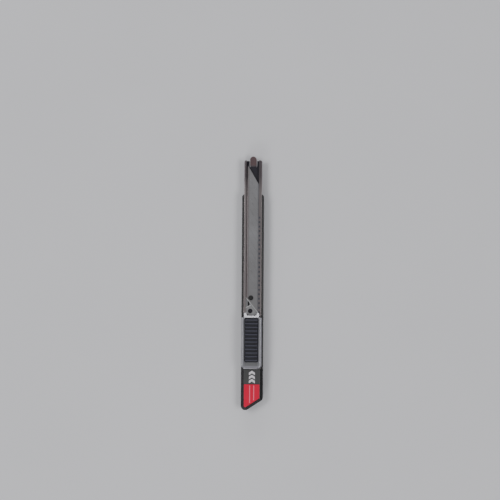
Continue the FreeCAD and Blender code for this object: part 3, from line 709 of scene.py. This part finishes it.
print("smooth:", smooth.__doc__, [smooth(quarter / 4) for quarter in range(5)])

# %% The pad's outline
grip_middle = (grip_low.y + grip_high.y) / 2
grip_half = (grip_high.y - grip_low.y) / 2
corner_radius = 0.95 * MM


def half_width(x):
    """the pad's half width, which shrinks round the corners"""
    reach = min(x - grip_low.x, grip_high.x - x)
    if reach >= corner_radius:
        return grip_half
    inset = corner_radius - reach
    return grip_half - corner_radius + math.sqrt(max(corner_radius ** 2 - inset ** 2, 0.0))


print(f"pad half width {half_width(first_rib) / MM:.2f} mm at the first rib")

# %% Heights of the pad
rib_foot = 0.74 * MM
rib_slope = 0.50 * MM
fade_start = 0.15 * MM
fade_run = 0.45 * MM
border_run = 0.18 * MM
border_drop = 0.10 * MM


def pad_height(x, off_middle):
    """height of the pad's top at a place"""
    nearest = round((x - first_rib) / rib_pitch)
    nearest = min(max(nearest, 0), rib_count - 1)
    away = abs(x - first_rib - nearest * rib_pitch)
    inside = min(half_width(x) - abs(off_middle), x - grip_low.x, grip_high.x - x)
    ridge = smooth((rib_foot - away) / rib_slope) * smooth((inside - fade_start) / fade_run)
    return pad_top - border_drop * (1 - smooth(inside / border_run)) + rib_rise * ridge


print(f"the first crest stands at z {pad_height(first_rib, 0.0) / MM:.2f} mm")

# %% The pad's top as a grid
COLUMNS = 244
ROWS = 44
narrowest = 0.3 * grip_half


def pad_grid(form):
    """rows of points over the pad, joined by faces"""
    grid = []
    for i in range(COLUMNS + 1):
        x = grip_low.x + (grip_high.x - grip_low.x) * i / COLUMNS
        half = max(half_width(x), narrowest)
        line = []
        for j in range(ROWS + 1):
            off = half * (2 * j / ROWS - 1)
            line.append(form.verts.new((x, grip_middle + off, pad_height(x, off))))
        grid.append(line)
    for near, far in zip(grid, grid[1:]):
        for j in range(ROWS):
            form.faces.new((near[j], far[j], far[j + 1], near[j + 1]))
    return grid


print("pad_grid:", pad_grid.__doc__, (COLUMNS + 1) * (ROWS + 1), "points")

# %% A mesh made into a piece
def as_piece(name, form, finish):
    """a finished form turned into an object of the scene"""
    mesh = bpy.data.meshes.new(name)
    form.to_mesh(mesh)
    form.free()
    mesh.materials.append(finish)
    piece = bpy.data.objects.new(name, mesh)
    bpy.context.scene.collection.objects.link(piece)
    return piece


print("as_piece:", as_piece.__doc__)

# %% The pad, closed all round
def build_pad():
    form = bmesh.new()
    grid = pad_grid(form)
    ring = [line[0] for line in grid] + grid[-1][1:] + [line[-1] for line in reversed(grid[:-1])]
    ring += list(reversed(grid[0][1:-1]))
    under = [form.verts.new((vert.co.x, vert.co.y, grip_low.z)) for vert in ring]
    count = len(ring)
    for k in range(count):
        following = (k + 1) % count
        form.faces.new((ring[k], ring[following], under[following], under[k]))
    form.faces.new(under)
    bmesh.ops.recalc_face_normals(form, faces=form.faces)
    for face in form.faces:
        face.smooth = True
    return as_piece("grip_pad", form, grip_rubber)


grip_pad = build_pad()
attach(grip_pad, "thumb_slider")
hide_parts("slider_grip")
print("grip pad faces:", len(grip_pad.data.polygons))

# %% [markdown]
# ## Printing on the cap
# Pad printing is a very thin film of ink. It could be a mask in the cap's material, but a real film keeps
# its sharp outline at any distance and survives export. Three white chevrons on the cap's flat point at
# the blade, and two pale ruled lines run along the red label. Each print is an outline filled as one flat
# shape and given the film's thickness.

# %% Inks
print_white = grained("print_white", dark=(0.62, 0.60, 0.63), light=(0.84, 0.82, 0.85), gloss=(0.4, 0.5),
                      grain=3000.0, patch=900.0, relief=(0.2, 0.01 * MM))
print_pale = grained("print_pale", dark=(0.92, 0.11, 0.18), light=(0.98, 0.20, 0.29), gloss=(0.4, 0.5),
                     grain=3000.0, patch=1200.0, relief=(0.2, 0.01 * MM))
print("inks:", print_white.name, print_pale.name)

# %% A film of ink
ink_thickness = 0.02 * MM


def ink_film(name, outlines, level, finish):
    """closed flat outlines given the thickness of ink, on top of a level"""
    form = bmesh.new()
    for outline in outlines:
        face = form.faces.new([form.verts.new((x, y, level)) for x, y in outline])
        raised = bmesh.ops.extrude_face_region(form, geom=[face])
        for item in raised["geom"]:
            if isinstance(item, bmesh.types.BMVert):
                item.co.z += ink_thickness
    bmesh.ops.recalc_face_normals(form, faces=form.faces)
    film = as_piece(name, form, finish)
    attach(film, "end_cap")
    return film


print("ink_film:", ink_film.__doc__)

# %% Three chevrons
chevron_half = 1.65 * MM
chevron_sweep = 1.1 * MM
chevron_stroke = 1.4 * MM
chevron_pitch = 2.25 * MM
mark_front = cap_high.x - 0.9 * MM
mark_middle = -0.1 * MM


def chevron(tip_x):
    """an arrow head that points along +X"""
    near = tip_x - chevron_sweep
    far = near - chevron_stroke
    left = mark_middle + chevron_half
    right = mark_middle - chevron_half
    notch = (tip_x - chevron_stroke, mark_middle)
    return [(tip_x, mark_middle), (near, left), (far, left), notch, (far, right), (near, right)]


chevrons = [chevron(mark_front - step * chevron_pitch) for step in range(3)]
mark = ink_film("cap_chevrons", chevrons, cap_high.z, print_white)
print("printed:", mark.name, "with", len(chevrons), "arrow heads")

# %% Two ruled lines
label_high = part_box("cap_label")[1]
line_start = label_high.x - 0.6 * MM
line_half = 0.28 * MM


def ruled_line(middle_y, run):
    """a narrow bar that runs back along the label"""
    line_end = line_start - run
    low = middle_y - line_half
    high = middle_y + line_half
    return [(line_start, low), (line_start, high), (line_end, high), (line_end, low)]


bars = [ruled_line(1.10 * MM, 9.6 * MM), ruled_line(-1.15 * MM, 8.2 * MM)]
ruled = ink_film("label_lines", bars, label_high.z, print_pale)
print("printed:", ruled.name, "with", len(bars), "lines")

# %% [markdown]
# ## The floor
# The knife lies on pale paper. It could curve up behind the knife as in a studio, but from above only the
# flat part shows. One large face is enough. Paper is dull: high roughness, hardly any specular.

# %% Paper floor
floor_reach = 3.0


def build_floor():
    form = bmesh.new()
    corners = ((-1, -1), (1, -1), (1, 1), (-1, 1))
    form.faces.new([form.verts.new((x * floor_reach, y * floor_reach, 0.0)) for x, y in corners])
    paper = grained("floor_paper", dark=(0.73, 0.73, 0.76), light=(0.78, 0.78, 0.81), gloss=(0.75, 0.85),
                    grain=900.0, patch=12.0, relief=(0.1, 0.02 * MM), specular=0.2)
    return as_piece("studio_floor", form, paper)


floor = build_floor()
print("floor:", floor.name, f"{2 * floor_reach:.0f} m square")

# %% [markdown]
# ## The room
# Steel shows the room around it more than its own colour. A single grey world makes it flat, and an image
# of a real room would be a file of its own. A smooth rise from dark at the floor line to light overhead
# is enough: faces that look up mirror the calm ceiling, and flanks stay darker.

# %% Room light
def build_room():
    world = bpy.data.worlds.new("studio_room")
    bpy.context.scene.world = world
    world.use_nodes = True
    tree = world.node_tree
    floor_line = (0.14, 0.14, 0.15)
    overhead = (0.98, 0.985, 1.0)
    brightness = 0.24
    place = node(tree, "ShaderNodeTexCoord")
    parts = node(tree, "ShaderNodeSeparateXYZ")
    rise = node(tree, "ShaderNodeMapRange", clamp=True, interpolation_type="SMOOTHSTEP", From_Min=0.0,
                From_Max=0.5)
    tree.links.new(place.outputs["Generated"], parts.inputs[0])
    tree.links.new(parts.outputs["Z"], rise.inputs["Value"])
    room = tree.nodes["Background"]
    tree.links.new(mix_colours(tree, rise.outputs[0], floor_line, overhead), room.inputs["Color"])
    room.inputs["Strength"].default_value = brightness
    return world


room = build_room()
print("room:", room.name)

# %% [markdown]
# ## Soft boxes
# A slim object with small radii needs wide lights: a small lamp makes a hard bright thread along every
# fillet. Two boxes low at the ends brighten the slider's nose and the rear rim, and two high at the sides
# light the lips, the frame and the cap's bevels.

# %% Four soft boxes
def soft_box(name, place, size, power):
    """a rectangular soft light that faces the middle of the knife"""
    light = bpy.data.lights.new(name, "AREA")
    light.shape = "RECTANGLE"
    light.size, light.size_y = size
    light.energy = power
    lamp = bpy.data.objects.new(name, light)
    lamp.location = place
    lamp.rotation_euler = (-Vector(place)).to_track_quat("-Z", "Y").to_euler()
    bpy.context.scene.collection.objects.link(lamp)
    return lamp


boxes = [soft_box("tip_end_box", place=(1.1, 0.12, 0.40), size=(0.6, 0.2), power=2.1),
         soft_box("cap_end_box", place=(-1.0, 0.3, 0.55), size=(0.6, 0.3), power=3.2),
         soft_box("edge_side_box", place=(0.25, 0.80, 1.25), size=(0.9, 0.5), power=8.0),
         soft_box("lip_side_box", place=(-0.25, -0.80, 1.25), size=(0.9, 0.5), power=7.0)]
print("soft boxes:", len(boxes), "with", sum(box.data.energy for box in boxes), "W in all")

# %% [markdown]
# ## The camera
# The knife is seen from almost straight above, with its tip at the top of the view. The camera leans a
# little to the side of the notched lip, so that flank shows as a thin line. Its rotation is built from
# three axes, the view's right, its up and the way back to the camera, because a tracking constraint rolls
# freely when it looks straight down.

# %% Lens and place
camera_data = bpy.data.cameras.new("studio_camera")
camera = bpy.data.objects.new("studio_camera", camera_data)
bpy.context.scene.collection.objects.link(camera)
sensor_width = 36.0
view_width = 0.2798
camera_height = 0.80
camera_data.sensor_width = sensor_width
camera_data.lens = sensor_width * camera_height / view_width
aim = Vector((0.0185, 0.00155, 0.005))
side_lean = math.radians(2.5)
camera.location = aim + Vector((0.0, -math.sin(side_lean), math.cos(side_lean))) * (camera_height - aim.z)
print(f"lens {camera_data.lens:.1f} mm at {camera_height} m")

# %% Which way is up in the view
turn = math.radians(0.40)
back = (camera.location - aim).normalized()
view_right = Vector((math.cos(turn), math.sin(turn), 0.0)).cross(back).normalized()
view_up = back.cross(view_right)
camera.rotation_euler = Matrix((view_right, view_up, back)).transposed().to_euler()
bpy.context.scene.camera = camera
print("up in the view:", [round(part, 3) for part in view_up])

# %% [markdown] ## The last step The script ends by printing how many pieces the model has and how many were added.
# Dressing a model must not make it bigger.

# %% Counts, and the last line
print("boxes written for", len(nodes), "pieces of the model and", len([grip_pad, mark, ruled]), "new ones")
